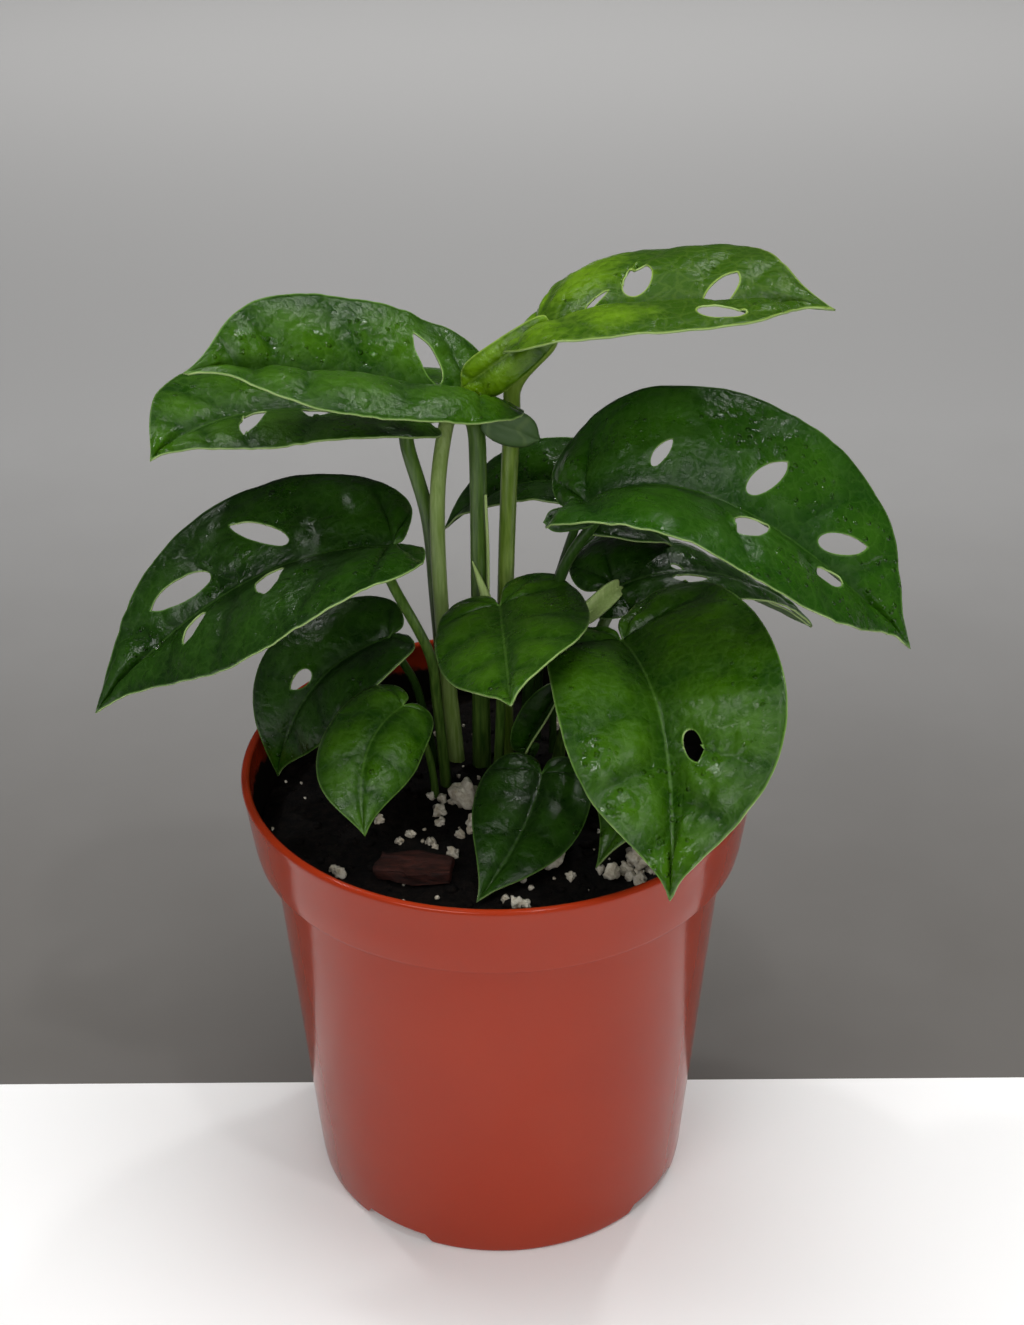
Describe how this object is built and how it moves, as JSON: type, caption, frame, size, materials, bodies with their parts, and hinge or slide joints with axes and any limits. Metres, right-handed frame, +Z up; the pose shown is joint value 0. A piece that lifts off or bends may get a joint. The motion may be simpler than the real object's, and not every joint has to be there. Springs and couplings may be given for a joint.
{
  "type": "potted climbing house plant",
  "caption": "Young vine with heart-shaped, holed leaves on upright stalks, growing in a round tapered nursery pot filled with potting mix.",
  "frame": {"origin": "middle of the pot's foot, on the surface it stands on", "axes": "+Z up along the pot's axis, -Y towards the side that the two front leaves hang over, +X towards the large right leaf"},
  "size_m": [0.2356, 0.1856, 0.2836],
  "materials": {
    "pot_plastic": "satin, injection moulded, terracotta colour",
    "potting_mix": "rough, damp, near black",
    "leaf_dark": "waxy leaf skin, wet in places",
    "leaf_mid": "waxy leaf skin, wet in places",
    "leaf_young": "young, waxy, yellow-green",
    "stalk": "smooth green skin",
    "sheath_pale": "thin pale skin",
    "perlite": "chalky, rough",
    "bark": "rough, damp"
  },
  "bodies": {
    "root": {"pot": "pot_plastic", "potting_mix": "potting_mix", "leaf_top_left": "leaf_mid", "stalk_top_left": "stalk", "leaf_under_left": "leaf_mid", "stalk_under_left": "stalk", "leaf_top_right": "leaf_young", "stalk_top_right": "stalk", "leaf_right": "leaf_dark", "stalk_right": "stalk", "leaf_left": "leaf_dark", "stalk_left": "stalk", "leaf_low_left": "leaf_dark", "stalk_low_left": "stalk", "leaf_small_left": "leaf_mid", "stalk_small_left": "stalk", "leaf_centre": "leaf_mid", "stalk_centre": "stalk", "leaf_front_right": "leaf_mid", "stalk_front_right": "stalk", "leaf_front": "leaf_dark", "stalk_front": "stalk", "leaf_behind": "leaf_dark", "stalk_behind": "stalk", "leaf_back_right": "leaf_dark", "stalk_back_right": "stalk", "leaf_small_back": "leaf_dark", "stalk_small_back": "stalk", "leaf_small_right": "leaf_mid", "stalk_small_right": "stalk", "leaf_folded": "leaf_dark", "stalk_folded": "stalk", "leaf_rear": "leaf_mid", "stalk_rear": "stalk", "sheath": "sheath_pale", "new_shoot": "sheath_pale", "perlite_1": "perlite", "perlite_2": "perlite", "perlite_3": "perlite", "perlite_4": "perlite", "perlite_5": "perlite", "perlite_6": "perlite", "bark_chip": "bark"}
  },
  "joints": []
}
